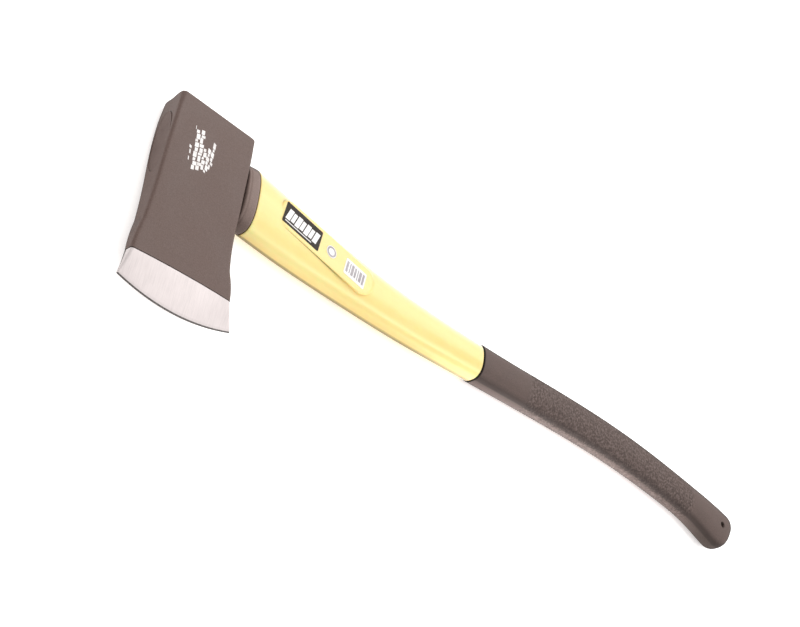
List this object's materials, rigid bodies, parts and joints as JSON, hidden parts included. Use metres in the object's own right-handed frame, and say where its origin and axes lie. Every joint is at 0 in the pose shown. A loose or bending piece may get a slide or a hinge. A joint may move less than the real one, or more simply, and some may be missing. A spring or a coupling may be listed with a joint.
{
  "type": "fire axe",
  "caption": "Single-bit flat-poll fire axe: forged painted head with a ground bit on a curved yellow composite handle, with a black rubber grip, a slanted knob and a hang hole.",
  "frame": {"origin": "middle of the poll's flat striking face, in the head's mid-plane; the middle of the eye, which the handle runs through, is 51.5 mm from it towards the cutting edge", "axes": "+X along the handle from the head to the butt, +Y out of the poll (the cutting edge is at -Y), +Z out of the upper cheek; the axe lies on its side"},
  "size_m": [0.8371, 0.1937, 0.0308],
  "materials": {
    "head_paint": "satin black-brown paint on forged steel, bit ground bright",
    "collar_black": "moulded, satin",
    "jacket_yellow": "moulded, semi-gloss",
    "grip_rubber": "soft matt rubber, fine knurl between smooth ends",
    "glass_fibre": "glass fibre in polyester resin, off-white",
    "resin_amber": "cured epoxy, amber",
    "dam_rubber": "foam rubber gasket",
    "cap_resin": "cured resin, painted over with the head",
    "label_dark": "printed film label, satin",
    "sticker_pale": "paper sticker"
  },
  "bodies": {
    "root": {"axe_head": "head_paint", "overstrike_collar": "collar_black", "handle_jacket": "jacket_yellow", "grip_sleeve": "grip_rubber", "fibreglass_core": "glass_fibre", "eye_resin": "resin_amber", "resin_dam": "dam_rubber", "crown_cap": "cap_resin", "main_label": "label_dark", "round_sticker": "sticker_pale", "barcode_sticker": "sticker_pale"}
  },
  "joints": []
}
